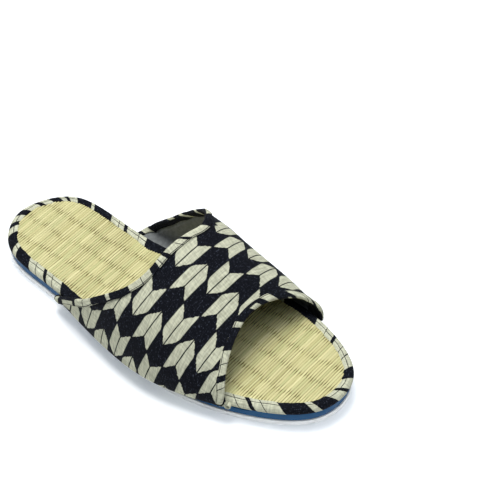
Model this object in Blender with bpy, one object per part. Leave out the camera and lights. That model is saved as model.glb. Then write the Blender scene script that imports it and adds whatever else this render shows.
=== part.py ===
"""Open-toe tatami room slipper, the right one of a pair, toe toward -Y and standing on Z = 0."""

import bmesh
import bpy
import numpy as np

# Driving sizes in metres.
LENGTH = 0.280
PLAY = 0.0003
OUTSOLE_TOP = 0.0042
MIDSOLE_TOP = 0.0104
OUTSOLE_INSET = 0.0014
MIDSOLE_INSET = 0.0020
BOTTOM_ROUND = 0.0009
TOE_SPRING = 0.0030
SPRING_START = 0.050
MIDDLE_X = 0.00526
MAT_TOP = 0.0164
CLOTH = 0.0010

# Upper: a padded cloth band whose margins lie in a rebate between midsole and insole.
WALL = 0.0022
EDGE_WALL = 0.0012
MARGIN = 0.0010
MARGIN_REACH = 0.0078
REBATE_REACH = 0.0083
REBATE_FRONT = -0.099
REBATE_BACK = 0.072
ROLL_HEIGHT = 0.0065
ROLL_START = 0.0010
ARCH_POWER = 2.10
STRIP_WIDTH = 0.0034
STRIP_CLOTH = 0.0007

# How far each edge strip goes past the base of the arch, as a place on the roll.
THROAT_END = 0.030
TOE_END = 0.000

# How finely the curved pieces are faceted.
OUTLINE_STEPS = 42
ARCH_STEPS = 44
ROLL_STEPS = 4
BAND_ROWS = 9

# Outer line of the bound insole, a row per station from heel to toe.
# The turn sets the station: half the length times its cosine. Widths are in millimetres.
OUTLINE_COLUMNS = ("station", "turn_deg", "lateral", "medial")
OUTLINE = (
    ("heel end", 0, 0.0, 0.0),
    ("heel round", 15, 16.2, 17.6),
    ("heel corner", 30, 30.8, 33.8),
    ("heel side", 45, 37.4, 38.2),
    ("heel front", 60, 41.3, 35.6),
    ("waist", 75, 47.6, 34.9),
    ("instep", 90, 54.6, 41.2),
    ("ball", 105, 57.1, 48.0),
    ("toe joints", 120, 52.9, 48.5),
    ("toe side", 135, 43.7, 41.8),
    ("toe corner", 150, 32.2, 31.2),
    ("toe round", 165, 18.2, 17.8),
    ("toe end", 180, 0.0, 0.0),
)

# Margin of the mat inside its cloth edge: inset from the outer line and height, in millimetres.
MAT_EDGE_COLUMNS = ("inset", "height")
MAT_EDGE = (
    (6.9, 12.0),
    (2.9, 12.0),
    (1.8, 12.4),
    (1.3, 13.2),
    (1.5, 14.1),
    (2.4, 14.8),
    (3.9, 15.1),
    (6.0, 15.0),
)

# Upper through its cross sections, a row per section, in millimetres.
# Bulges are past the outer line of the insole, the roof is the height of the full arch,
# and the lean carries its crown toward the medial side.
SECTION_COLUMNS = ("section", "y", "lateral_bulge", "medial_bulge", "roof", "lean")
SECTIONS = (
    ("heel wings", 70.0, 4.2, 9.2, 94.0, 6.0),
    ("waist", 40.0, 6.2, 9.2, 94.1, 7.0),
    ("instep", 10.0, 7.3, 8.2, 91.3, 8.3),
    ("throat centre", -12.0, 7.7, 6.8, 82.9, 7.0),
    ("ball", -35.0, 6.9, 5.4, 69.4, 1.6),
    ("toe joints", -65.0, 3.7, 4.3, 49.8, -0.7),
    ("toe edge", -95.0, 3.2, 3.1, 35.5, 0.0),
)

# Cut edges of the upper, a row per place on the arch from lateral base (0) to medial base (1).
# Negative places and those past 1 are on the rolled margins. Y is in millimetres.
EDGE_COLUMNS = ("around", "throat_y", "toe_y")
EDGES = (
    (-0.08, 67.5, -81.0),
    (0.00, 60.3, -81.4),
    (0.06, 38.7, -81.7),
    (0.12, 21.5, -80.6),
    (0.21, 1.9, -77.1),
    (0.31, -8.5, -72.5),
    (0.41, -10.7, -68.4),
    (0.50, -12.6, -66.1),
    (0.59, -13.2, -67.6),
    (0.69, -4.6, -72.0),
    (0.79, 8.2, -76.8),
    (0.88, 26.6, -83.0),
    (0.94, 40.6, -85.6),
    (1.00, 55.4, -87.0),
    (1.08, 65.5, -88.0),
)

# Section of an edge strip: distance in from the raw edge, and which face of the wall it lies on.
STRIP_COLUMNS = ("along", "face", "cloth")
STRIP_OUTSIDE = (
    (1.00, 1, 0.30),
    (0.80, 1, 0.92),
    (0.42, 1, 1.06),
    (0.08, 1, 1.00),
)

COLOURS = {
    "outsole": (0.86, 0.86, 0.84, 1.0),
    "midsole": (0.017, 0.090, 0.262, 1.0),
    "insole": (0.520, 0.480, 0.240, 1.0),
    "insole_binding": (0.060, 0.065, 0.110, 1.0),
    "upper": (0.120, 0.125, 0.150, 1.0),
    "throat_binding": (0.050, 0.055, 0.100, 1.0),
    "toe_binding": (0.055, 0.060, 0.105, 1.0),
}


def spline(knots, values, at):
    """Natural cubic curve through the table's rows, with its end slopes carried on."""
    knots = np.asarray(knots, float)
    values = np.asarray(values, float)
    count = len(knots)
    step = np.diff(knots)
    slope = np.diff(values) / step
    matrix = np.eye(count)
    right = np.zeros(count)
    for row in range(1, count - 1):
        matrix[row, row - 1] = step[row - 1]
        matrix[row, row] = 2.0 * (step[row - 1] + step[row])
        matrix[row, row + 1] = step[row]
        right[row] = 6.0 * (slope[row] - slope[row - 1])
    bend = np.linalg.solve(matrix, right)
    at = np.asarray(at, float)
    inside = np.clip(at, knots[0], knots[-1])
    cell = np.clip(np.searchsorted(knots, inside) - 1, 0, count - 2)
    width = step[cell]
    before = (knots[cell + 1] - inside) / width
    after = (inside - knots[cell]) / width
    curve = before * values[cell] + after * values[cell + 1]
    curve += ((before**3 - before) * bend[cell] + (after**3 - after) * bend[cell + 1]) * width**2 / 6.0
    low_slope = slope[0] - step[0] * bend[1] / 6.0
    high_slope = slope[-1] + step[-1] * bend[-2] / 6.0
    curve += np.minimum(at - knots[0], 0.0) * low_slope
    curve += np.maximum(at - knots[-1], 0.0) * high_slope
    return curve


def column(table, columns, name):
    place = columns.index(name)
    return np.array([row[place] for row in table], float)


def outline_x(turn):
    """X of the outer line at a turn: 0 to pi down the lateral side, pi to 2 pi back up the medial side."""
    stations = np.radians(column(OUTLINE, OUTLINE_COLUMNS, "turn_deg"))
    lateral = -column(OUTLINE, OUTLINE_COLUMNS, "lateral") / 1000.0
    medial = column(OUTLINE, OUTLINE_COLUMNS, "medial") / 1000.0
    full = 2.0 * np.pi
    one_lap_turn = np.concatenate([stations, full - stations[-2:0:-1]])
    one_lap_x = np.concatenate([lateral, medial[-2:0:-1]])
    laps = np.concatenate([one_lap_turn - full, one_lap_turn, one_lap_turn + full])
    return spline(laps, np.tile(one_lap_x, 3), np.asarray(turn, float))


def side_x(y, medial):
    """X of the outer line beside a station."""
    turn = np.arccos(np.clip(np.asarray(y, float) / (LENGTH / 2.0), -1.0, 1.0))
    return outline_x(2.0 * np.pi - turn) if medial else outline_x(turn)


def lift(y):
    """Toe spring."""
    ahead = np.clip((-np.asarray(y, float) - SPRING_START) / (LENGTH / 2.0 - SPRING_START), 0.0, None)
    return TOE_SPRING * ahead**2


def loop(inset):
    """Points of the outline moved in by an inset, round from the heel by the lateral side."""
    turn = np.arange(2 * OUTLINE_STEPS) * np.pi / OUTLINE_STEPS
    small = 1.0e-4
    x = outline_x(turn)
    y = LENGTH / 2.0 * np.cos(turn)
    dx = (outline_x(turn + small) - outline_x(turn - small)) / (2.0 * small)
    dy = -LENGTH / 2.0 * np.sin(turn)
    norm = np.hypot(dx, dy)
    return x - inset * dy / norm, y + inset * dx / norm


def ring(inset, height, rebate=0.0):
    x, y = loop(inset)
    edge_y = LENGTH / 2.0 * np.cos(np.arange(2 * OUTLINE_STEPS) * np.pi / OUTLINE_STEPS)
    in_rebate = (edge_y > REBATE_FRONT) & (edge_y < REBATE_BACK)
    z = height - rebate * in_rebate + lift(y)
    return np.column_stack([x, y, z])


def material(name):
    made = bpy.data.materials.new(name)
    made.use_nodes = True
    shader = made.node_tree.nodes["Principled BSDF"]
    shader.inputs["Base Color"].default_value = COLOURS[name]
    shader.inputs["Roughness"].default_value = 0.8
    return made


def place_solid(name, points, faces):
    mesh = bpy.data.meshes.new(name)
    mesh.from_pydata([(x + MIDDLE_X, y, z) for x, y, z in points], [], faces)
    work = bmesh.new()
    work.from_mesh(mesh)
    bmesh.ops.recalc_face_normals(work, faces=work.faces)
    bmesh.ops.triangulate(work, faces=work.faces)
    work.to_mesh(mesh)
    work.free()
    solid = bpy.data.objects.new(name, mesh)
    bpy.context.scene.collection.objects.link(solid)
    mesh.materials.append(material(name))
    return solid


def bridge(count, rings, closed):
    """Quads between neighbouring rings of the same number of points."""
    faces = []
    last = rings if closed else rings - 1
    for row in range(last):
        here = row * count
        there = (row + 1) % rings * count
        for k in range(count):
            after = (k + 1) % count
            faces.append((here + k, here + after, there + after, there + k))
    return faces


def lid(first, count):
    """Strips across an outline loop, so that a lid follows the toe spring."""
    half = count // 2
    faces = [(first, first + 1, first + count - 1)]
    for k in range(1, half - 1):
        faces.append((first + k, first + k + 1, first + count - k - 1, first + count - k))
    faces.append((first + half - 1, first + half, first + half + 1))
    return faces


def sole_layer(name, rings):
    count = 2 * OUTLINE_STEPS
    points = np.concatenate(rings)
    faces = bridge(count, len(rings), False)
    faces += lid(0, count)
    faces += lid((len(rings) - 1) * count, count)
    return place_solid(name, points, faces)


def moved_profile(profile, distance):
    """An open profile moved to its left by a distance, mitred at its corners."""
    step = np.diff(profile, axis=0)
    step /= np.linalg.norm(step, axis=1)[:, None]
    left = np.column_stack([-step[:, 1], step[:, 0]])
    corner = np.vstack([left[:1], left[:-1] + left[1:], left[-1:]])
    along = np.vstack([left[:1], left[1:], left[-1:]])
    corner /= (corner * along).sum(1)[:, None]
    return profile + distance * corner


def make_outsole():
    rings = [
        ring(OUTSOLE_INSET + BOTTOM_ROUND, 0.0),
        ring(OUTSOLE_INSET + 0.3 * BOTTOM_ROUND, 0.3 * BOTTOM_ROUND),
        ring(OUTSOLE_INSET, BOTTOM_ROUND),
        ring(OUTSOLE_INSET, OUTSOLE_TOP),
    ]
    return sole_layer("outsole", rings)


def make_midsole():
    depth = MARGIN + PLAY
    rings = [
        ring(MIDSOLE_INSET, OUTSOLE_TOP + PLAY),
        ring(MIDSOLE_INSET, MIDSOLE_TOP, depth),
        ring(REBATE_REACH, MIDSOLE_TOP, depth),
        ring(REBATE_REACH + PLAY, MIDSOLE_TOP),
    ]
    return sole_layer("midsole", rings)


def make_insole():
    edge = np.array(MAT_EDGE) / 1000.0
    rings = [ring(edge[0, 0], MIDSOLE_TOP + PLAY)]
    rings += [ring(inset, height) for inset, height in edge]
    rings.append(ring(edge[-1, 0] + PLAY, MAT_TOP))
    return sole_layer("insole", rings)


def make_insole_binding():
    edge = np.array(MAT_EDGE) / 1000.0
    edge[0, 0] -= PLAY
    edge[-1, 0] -= PLAY
    inside = moved_profile(edge, PLAY)
    outside = moved_profile(edge, PLAY + CLOTH)
    section = np.concatenate([inside, outside[::-1]])
    rings = [ring(inset, height) for inset, height in section]
    count = 2 * OUTLINE_STEPS
    return place_solid("insole_binding", np.concatenate(rings), bridge(count, len(rings), True))


def across_places():
    """Places across the band: tucked margin, roll, arch, roll, tucked margin."""
    roll = np.linspace(-0.06, 0.0, ROLL_STEPS + 1)
    arch = np.linspace(0.0, 1.0, ARCH_STEPS + 1)
    low = np.concatenate([[-0.08], roll[:-1]])
    return np.concatenate([low, arch, 1.0 - low[::-1]])


def band_point(y, around):
    """Outer face of the upper at a station and a place across the arch."""
    y = np.asarray(y, float)
    around = np.asarray(around, float)
    mm = y * 1000.0
    station = -column(SECTIONS, SECTION_COLUMNS, "y")
    bulge_l = spline(station, column(SECTIONS, SECTION_COLUMNS, "lateral_bulge"), -mm) / 1000.0
    bulge_m = spline(station, column(SECTIONS, SECTION_COLUMNS, "medial_bulge"), -mm) / 1000.0
    roof = spline(station, column(SECTIONS, SECTION_COLUMNS, "roof"), -mm) / 1000.0
    lean = spline(station, column(SECTIONS, SECTION_COLUMNS, "lean"), -mm) / 1000.0
    line_l = side_x(y, False)
    line_m = side_x(y, True)
    wide_l = line_l - bulge_l
    wide_m = line_m + bulge_m
    bed = MIDSOLE_TOP - MARGIN
    spring_z = bed + ROLL_HEIGHT
    angle = np.pi * np.clip(around, 0.0, 1.0)
    cosine = np.cos(angle)
    sine = np.clip(np.sin(angle), 0.0, 1.0)
    half = (wide_m - wide_l) / 2.0
    power = 2.0 / ARCH_POWER
    x = (wide_l + wide_m) / 2.0 - half * np.sign(cosine) * np.abs(cosine) ** power
    x = x + lean * sine**2
    z = spring_z + (roof - spring_z) * sine**power
    for medial in (False, True):
        past = np.clip(around - 1.0 if medial else -around, 0.0, None)
        sign = 1.0 if medial else -1.0
        line = line_m if medial else line_l
        wide = wide_m if medial else wide_l
        reach = np.abs(wide - line) + ROLL_START
        turn = np.clip(past / 0.06, 0.0, 1.0) * np.pi / 2.0
        x = x - sign * reach * (1.0 - np.cos(turn))
        z = z - ROLL_HEIGHT * np.sin(turn)
        tuck = np.clip((past - 0.06) / 0.02, 0.0, 1.0)
        x = x - sign * (MARGIN_REACH - ROLL_START) * tuck
    return np.stack([x, y, z + lift(y)], -1)


def band_normal(y, around):
    """Outward direction of the band's outer face."""
    small_y = 1.0e-5
    small_a = 1.0e-4
    along = band_point(y + small_y, around) - band_point(y - small_y, around)
    over = band_point(y, around + small_a) - band_point(y, around - small_a)
    normal = np.cross(over, along)
    return normal / np.linalg.norm(normal, axis=-1)[..., None]


def edge_y(name, around):
    return spline(column(EDGES, EDGE_COLUMNS, "around"), column(EDGES, EDGE_COLUMNS, name), around) / 1000.0


def y_per_width(name, around):
    """Distance along Y that moves one unit square to a cut edge, across the band."""
    small = 1.0e-3
    ahead = band_point(edge_y(name, around + small), around + small)
    behind = band_point(edge_y(name, around - small), around - small)
    run = ahead - behind
    run /= np.linalg.norm(run, axis=-1)[..., None]
    y = edge_y(name, around)
    along = (band_point(y + 1.0e-5, around) - band_point(y - 1.0e-5, around)) / 2.0e-5
    square = along - (along * run).sum(-1)[..., None] * run
    return 1.0 / np.linalg.norm(square, axis=-1)


def margin_share(around):
    """1 on the tucked margin, falling to 0 where the roll becomes the arch."""
    past = np.maximum(-around, around - 1.0)
    share = np.clip(past / 0.06, 0.0, 1.0)
    return share * share * (3.0 - 2.0 * share)


def make_upper():
    around = across_places()
    throat = edge_y("throat_y", around)
    toe = edge_y("toe_y", around)
    slant_t = y_per_width("throat_y", around)
    slant_f = y_per_width("toe_y", around)
    step = STRIP_WIDTH + PLAY
    rows = [(throat, EDGE_WALL), (throat - step * slant_t, EDGE_WALL)]
    inner_t = throat - (step + 0.0015) * slant_t
    inner_f = toe + (step + 0.0015) * slant_f
    for share in np.linspace(0.0, 1.0, BAND_ROWS):
        rows.append((inner_t + (inner_f - inner_t) * share, WALL))
    rows += [(toe + step * slant_f, EDGE_WALL), (toe, EDGE_WALL)]
    count = len(around)
    outer = []
    inner = []
    tucked = margin_share(around)
    for y, wall in rows:
        face = band_point(y, around)
        thick = wall + (MARGIN - wall) * tucked
        outer.append(face)
        inner.append(face - band_normal(y, around) * thick[:, None])
    sheet = np.concatenate(outer + inner)
    half = len(rows) * count
    faces = []
    for r in range(len(rows) - 1):
        for k in range(count - 1):
            here = r * count + k
            quad = (here, here + 1, here + count + 1, here + count)
            faces.append(quad)
            faces.append(tuple(half + i for i in quad[::-1]))
    for r in range(len(rows) - 1):
        for k in (0, count - 1):
            here = r * count + k
            faces.append((here, here + count, half + here + count, half + here))
    for r in (0, len(rows) - 1):
        for k in range(count - 1):
            here = r * count + k
            faces.append((here, here + 1, half + here + 1, half + here))
    return place_solid("upper", sheet, faces)


def strip_section():
    """Closed section of an edge strip as (distance in from the raw edge, distance out from the outer face)."""
    width = STRIP_WIDTH
    middle = -EDGE_WALL / 2.0
    reach = EDGE_WALL / 2.0 + PLAY
    outside = [(along * width, PLAY + cloth * STRIP_CLOTH) for along, face, cloth in STRIP_OUTSIDE]
    nose = []
    for angle in np.radians((55.0, 20.0, -20.0, -55.0)):
        radius = reach + STRIP_CLOTH
        nose.append((-radius * np.cos(angle), middle + radius * np.sin(angle)))
    below = [(along, 2.0 * middle - out) for along, out in outside[::-1]]
    inside = [(width, 2.0 * middle - PLAY), (0.0, 2.0 * middle - PLAY)]
    inside += [(-PLAY, middle), (0.0, PLAY), (width, PLAY)]
    return outside + nose + below + inside


def make_strip(name, edge, heading, end):
    around = across_places()
    around = around[(around > -end - 0.001) & (around < 1.0 + end + 0.001)]
    start = edge_y(edge, around)
    slant = y_per_width(edge, around)
    lines = []
    for along, out in strip_section():
        y = start + heading * along * slant
        lines.append(band_point(y, around) + out * band_normal(y, around))
    count = len(lines)
    points = np.stack(lines, 1).reshape(-1, 3)
    faces = []
    for k in range(len(around) - 1):
        for j in range(count):
            after = (j + 1) % count
            here = k * count
            faces.append((here + j, here + after, here + count + after, here + count + j))
    last = (len(around) - 1) * count
    faces.append(tuple(range(count)))
    faces.append(tuple(last + j for j in range(count)))
    return place_solid(name, points, faces)


def main():
    for old in list(bpy.data.objects):
        bpy.data.objects.remove(old, do_unlink=True)
    make_outsole()
    make_midsole()
    make_insole()
    make_insole_binding()
    make_upper()
    make_strip("throat_binding", "throat_y", -1.0, THROAT_END)
    make_strip("toe_binding", "toe_y", 1.0, TOE_END)


main()
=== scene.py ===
"""Open-toe tatami room slipper for the right foot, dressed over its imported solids.

A rush mat bound with cloth tape lies on a blue and white foam sole, and a padded band of cloth with
an arrow-feather weave goes over the foot. The toe points toward -Y and the lateral side is -X.
Sizes are in metres where no comment says otherwise.
"""

import math

import bmesh
import bpy
import numpy as np
from bpy.props import FloatProperty, FloatVectorProperty, PointerProperty
from mathutils import Matrix, Vector


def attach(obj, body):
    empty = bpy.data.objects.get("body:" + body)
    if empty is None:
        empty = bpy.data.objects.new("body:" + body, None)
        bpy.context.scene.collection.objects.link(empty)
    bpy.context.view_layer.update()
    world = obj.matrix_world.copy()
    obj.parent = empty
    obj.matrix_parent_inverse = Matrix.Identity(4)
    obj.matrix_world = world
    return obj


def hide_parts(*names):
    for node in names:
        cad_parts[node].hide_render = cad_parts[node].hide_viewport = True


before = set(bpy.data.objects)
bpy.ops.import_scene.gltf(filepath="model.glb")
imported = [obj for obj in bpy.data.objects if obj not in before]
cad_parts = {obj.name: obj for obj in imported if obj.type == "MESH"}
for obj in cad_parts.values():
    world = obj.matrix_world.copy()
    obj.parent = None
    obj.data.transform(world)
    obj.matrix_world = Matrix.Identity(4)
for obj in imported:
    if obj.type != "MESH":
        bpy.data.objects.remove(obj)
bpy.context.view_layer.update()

bl_info = {
    "name": "Tatami Slipper",
    "version": (1, 0, 0),
    "blender": (4, 5, 0),
    "location": "View3D > Sidebar > Slipper",
    "description": "Makes a rush and cloth room slipper over its packed solids",
    "category": "Add Mesh",
}

# Outer line of the bound insole, a row per station from heel to toe.
# The turn sets the station: half the length times its cosine. Widths are in millimetres.
OUTLINE_COLUMNS = ("station", "turn_deg", "lateral", "medial")
OUTLINE = (
    ("heel end", 0, 0.0, 0.0),
    ("heel round", 15, 16.2, 17.6),
    ("heel corner", 30, 30.8, 33.8),
    ("heel side", 45, 37.4, 38.2),
    ("heel front", 60, 41.3, 35.6),
    ("waist", 75, 47.6, 34.9),
    ("instep", 90, 54.6, 41.2),
    ("ball", 105, 57.1, 48.0),
    ("toe joints", 120, 52.9, 48.5),
    ("toe side", 135, 43.7, 41.8),
    ("toe corner", 150, 32.2, 31.2),
    ("toe round", 165, 18.2, 17.8),
    ("toe end", 180, 0.0, 0.0),
)

# Upper through its cross sections, a row per section, in millimetres.
# Bulges are past the outer line of the insole, the roof is the height of the full arch,
# and the lean carries its crown toward the medial side.
SECTION_COLUMNS = ("section", "y", "lateral_bulge", "medial_bulge", "roof", "lean")
SECTIONS = (
    ("heel wings", 70.0, 4.2, 9.2, 94.0, 6.0),
    ("waist", 40.0, 6.2, 9.2, 94.1, 7.0),
    ("instep", 10.0, 7.3, 8.2, 91.3, 8.3),
    ("throat centre", -12.0, 7.7, 6.8, 82.9, 7.0),
    ("ball", -35.0, 6.9, 5.4, 69.4, 1.6),
    ("toe joints", -65.0, 3.7, 4.3, 49.8, -0.7),
    ("toe edge", -95.0, 3.2, 3.1, 35.5, 0.0),
)

# Cut edges of the upper, a row per place on the arch from lateral base (0) to medial base (1).
# Negative places and those past 1 are on the rolled margins. Y is in millimetres.
EDGE_COLUMNS = ("around", "throat_y", "toe_y")
EDGES = (
    (-0.08, 67.5, -81.0),
    (0.00, 60.3, -81.4),
    (0.06, 38.7, -81.7),
    (0.12, 21.5, -80.6),
    (0.21, 1.9, -77.1),
    (0.31, -8.5, -72.5),
    (0.41, -10.7, -68.4),
    (0.50, -12.6, -66.1),
    (0.59, -13.2, -67.6),
    (0.69, -4.6, -72.0),
    (0.79, 8.2, -76.8),
    (0.88, 26.6, -83.0),
    (0.94, 40.6, -85.6),
    (1.00, 55.4, -87.0),
    (1.08, 65.5, -88.0),
)

# Soft troughs and ridges of the upper, as lines from one place to another.
# Around is the place on the arch, share goes from the throat edge (0) to the toe edge (1).
# A row is around and share at the start, around and share at the end, width and rise.
# Width and rise are in millimetres, and a negative rise is a trough.
CREASES = (
    (0.02, 0.10, 0.16, 0.42, 7.0, -0.8),
    (0.05, 0.07, 0.22, 0.30, 6.0, 0.6),
    (0.02, 0.34, 0.12, 0.62, 8.0, -0.6),
    (0.30, 0.10, 0.38, 0.40, 11.0, -0.5),
    (0.45, 0.62, 0.52, 0.92, 9.0, -0.5),
    (0.62, 0.10, 0.58, 0.38, 11.0, -0.5),
    (0.98, 0.10, 0.84, 0.42, 7.0, -0.8),
    (0.95, 0.07, 0.80, 0.30, 6.0, 0.6),
    (0.06, 0.95, 0.16, 0.78, 6.0, -0.5),
    (0.94, 0.95, 0.84, 0.78, 6.0, -0.5),
)

# Section of the tape round the insole, on its outside face: inset from the outer line and height,
# in millimetres.
INSOLE_TAPE = (
    (6.60, 10.75),
    (4.40, 10.72),
    (2.70, 10.75),
    (1.50, 11.00),
    (0.65, 11.70),
    (0.15, 12.60),
    (0.10, 13.60),
    (0.42, 14.65),
    (1.15, 15.55),
    (2.20, 16.20),
    (3.50, 16.55),
    (4.90, 16.68),
    (6.00, 16.62),
    (6.70, 16.30),
)

# Cream lengths of the tapes as (start, end) along each tape, in millimetres; the rest is navy.
# Where two more numbers follow, the figure covers only that part of the tape's way across.
# Marks are the places of the thin dark lines that cross a tape.
INSOLE_TAPE_CREAM = (
    (5, 13), (18, 25), (39, 44), (59, 74), (77, 92), (118, 133), (140, 150), (168, 176), (190, 207),
    (224, 236), (242.5, 258), (261, 280), (299, 304), (317, 326), (329, 339), (350, 361), (362, 378),
    (381, 400), (431, 446), (449, 462), (480, 486), (504, 519), (540, 558), (561, 574), (591, 594),
    (607, 614), (617, 621), (629, 636), (640, 650),
)
INSOLE_TAPE_MARKS = (66, 83, 126, 198, 250, 268, 369, 389, 438, 512, 547, 566)
THROAT_TAPE_CREAM = (
    (3, 9), (16, 31, -1, 4.2), (34, 44), (44.8, 55), (71, 74.5, 1.2, 9), (91, 109), (115, 121.5),
    (124.5, 139), (142, 160), (176, 188, -1, 5.5), (205.8, 209.2), (225.5, 229.8),
    (239, 245.5, -1, 8.8), (266, 274),
)
THROAT_TAPE_MARKS = (101, 117.5, 134, 181.5)
TOE_TAPE_CREAM = (
    (5, 21.8), (26, 42), (58.5, 63), (75.5, 82, 2.6, 9), (88.5, 96.5), (105, 108, 5.5, 8),
    (112, 126.5, -1, 7.0), (130, 143.5, -1, 7.0), (147, 152, -1, 7.0),
)
TOE_TAPE_MARKS = (17.5, 33.3, 122, 137.5)

# Lean of the cloth's figures, as (place along an edge tape in millimetres, lean there). The lean is
# in millimetres along the tape for each millimetre across it.
THROAT_TAPE_LEAN = (
    (0, 1.6), (40, 1.6), (52, 0.9), (72, 0.6), (90, 0.3), (112, 0.2), (124, -0.5), (140, -1.2),
    (165, -1.2), (190, -1.75), (250, -1.75), (262, 0.0),
)
TOE_TAPE_LEAN = ((0, 0.8), (45, 0.8), (62, 0.7), (95, 0.8), (120, 1.3), (150, 1.3))

# Places in the arrow-feather weave: repeats across and rows toward the toe. Each is a sum of
# (factor, power of the way over the foot, power of the way to the heel), both ways in decimetres.
FEATHER_ACROSS = (
    (1.5438, 0, 0), (2.1945, 1, 0), (0.5806, 0, 1), (0.4958, 1, 1), (-0.0122, 2, 0), (0.0986, 3, 0),
    (0.4194, 2, 1), (1.2554, 0, 2), (1.5010, 1, 2), (-0.1317, 3, 1), (-0.5274, 0, 3),
)
FEATHER_ROWS = (
    (1.7073, 0, 0), (-8.9626, 0, 1), (-0.0558, 0, 2), (0.2829, 1, 0), (1.3500, 2, 0), (-0.2086, 1, 1),
    (2.6694, 2, 1), (-0.3213, 3, 0), (-0.2894, 4, 0), (1.6597, 0, 3), (-0.3512, 1, 2), (2.2342, 3, 1),
)
FEATHER_ORIGIN = -0.04  # Y where the way to the heel begins

# The sums hold between these ends. Past them the weave goes on at the paces below.
FEATHER_OVER_ENDS = (-1.20, 0.46)
FEATHER_BACK_ENDS = (-0.42, 0.96)
FEATHER_PACE_ACROSS = 2.4
FEATHER_PACE_ROWS = -8.6
FEATHER_DRIFT_MEDIAL = 1.2
FEATHER_DRIFT_LATERAL = -2.3

# One arrow feather, in repeats across where nothing else is said.
FEATHER_THREADS = 19.0  # weft threads in a row, each dyed a little off its place
FEATHER_SLANT = 0.208  # lean of the barbs from spine to tip
FEATHER_SHIFT = 0.119  # of every second row
FEATHER_HALF_WIDTH = 0.246
FEATHER_REPEAT_MM = 43.0
FEATHER_TIP = 0.955  # end of the barbs, in half rows
FEATHER_HALF_ROW_MM = 5.9
FEATHER_BLUNT = 2.8  # rounding of the tips, in millimetres
FEATHER_SPINE = (0.030, 0.085)  # edges of the dark spine, in half rows

# Width of one thread in the weave of the cloth, in millimetres.
THREAD_PITCH = 0.62

# Places past the base of the arch: the band rolls under first, and the tucked margin follows.
ROLL_PART = 0.06
MARGIN_PART = 0.02

# Small steps for slopes.
NUDGE_Y = 1.0e-5
NUDGE_AROUND = 1.0e-4

# Lengthwise cotton warps under the rush, distance from the middle line in millimetres.
WARPS = (-49.5, -33.5, -18.5, -1.0, 15.5, 31.5, 47.5)


def number(name, text, value, **more):
    return FloatProperty(name=name, description=text, default=value, **more)


def length(name, text, value):
    return number(name, text, value, subtype="DISTANCE", unit="LENGTH", precision=5)


def angle(name, text, degrees):
    return number(name, text, math.radians(degrees), subtype="ANGLE", unit="ROTATION")


def colour(name, text, value):
    return FloatVectorProperty(
        name=name, description=text, default=value, size=3, min=0.0, max=1.0, subtype="COLOR"
    )


class SlipperSizes(bpy.types.PropertyGroup):
    """Sizes of the slipper."""

    whole: length("Length", "Heel end to toe end of the bound insole", 0.280)
    middle_x: length("Middle", "Sideways shift that centres the slipper on the origin", 0.00526)
    outsole_top: length("Outsole top", "Height of the white outsole", 0.0042)
    outsole_inset: length("Outsole inset", "White outsole inside the outer line", 0.0014)
    midsole_top: length("Midsole top", "Height of the blue midsole", 0.0104)
    midsole_inset: length("Midsole inset", "Blue midsole inside the outer line", 0.0020)
    bottom_round: length("Bottom round", "Rounding under the outsole", 0.0009)
    play: length("Play", "Gap between neighbouring pieces", 0.0003)
    toe_spring: length("Toe spring", "Rise of the sole at the toe end", 0.0030)
    spring_start: length("Spring start", "Where the toe spring begins, ahead of the middle", 0.050)
    mat_top: length("Mat top", "Height of the rush mat", 0.0164)
    rush: length("Rush", "Width of one strand of rush", 0.00193)
    tape_cloth: length("Tape cloth", "Thickness of the tape round the insole", 0.0010)
    wall: length("Wall", "Thickness of the padded band", 0.0022)
    edge_wall: length("Edge wall", "Thickness of the band under its edge tapes", 0.0012)
    margin: length("Margin", "Thickness of the band where it is tucked under the insole", 0.0010)
    margin_reach: length("Margin reach", "How far the band is tucked under the insole", 0.0078)
    rebate_reach: length("Rebate reach", "Width of the step cut in the midsole for the band", 0.0083)
    rebate_front: length("Rebate front", "Toe end of that step", -0.099)
    rebate_back: length("Rebate back", "Heel end of that step", 0.072)
    roll_height: length("Roll height", "Height over which the band rolls under", 0.0065)
    roll_start: length("Roll start", "Where the roll meets the tucked margin", 0.0010)
    arch_power: number("Arch", "Fullness of the band's arch", 2.10, min=1.5, max=4.0)
    strip_width: length("Edge tape", "Width of the edge tape on each face of the band", 0.0034)
    strip_cloth: length("Edge tape cloth", "Thickness of the edge tape", 0.0007)


class SlipperColours(bpy.types.PropertyGroup):
    """Colours of the slipper."""

    cream: colour("Cream", "Undyed threads of the cloth", (0.508, 0.510, 0.380))
    navy: colour("Navy", "Dyed threads of the cloth", (0.0022, 0.0029, 0.0056))
    fleck: colour("Fleck", "Pale flecks in the dyed threads", (0.050, 0.057, 0.079))
    lining: colour("Lining", "Charcoal lining of the band", (0.138, 0.146, 0.144))
    straw_pale: colour("Pale straw", "Light strands of rush", (0.650, 0.605, 0.315))
    straw_dark: colour("Dark straw", "Dull strands of rush", (0.430, 0.392, 0.172))
    straw_green: colour("Green straw", "Greenish strands of rush", (0.450, 0.446, 0.205))
    # Painted shade between the strands and round the dips where the warps hold them.
    straw_gap: colour("Rush gaps", "Shade between the strands", (0.115, 0.089, 0.017))
    blue: colour("Blue", "Foam of the midsole", (0.0110, 0.0800, 0.1950))
    white: colour("White", "Foam of the outsole", (0.955, 0.955, 0.940))


class SlipperStage(bpy.types.PropertyGroup):
    """Camera and light."""

    turn: angle("Turn", "Camera turned about the upright axis", -52.1367)
    height: angle("Height", "Camera above the floor", 44.9729)
    distance: length("Distance", "Camera from the middle of the slipper", 1.3077)
    slide: length("Slide", "Camera slid to its right", 0.0507)
    raise_by: length("Raise", "Camera slid along its own upright", 0.0439)
    lens: number("Lens", "Focal length on a 36 mm frame", 139.49, subtype="DISTANCE_CAMERA")
    key: number("Key light", "Power of the round lamp", 14.2, subtype="POWER", unit="POWER")
    fill: number("Fill light", "Strength of the light from overhead", 0.62)


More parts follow.
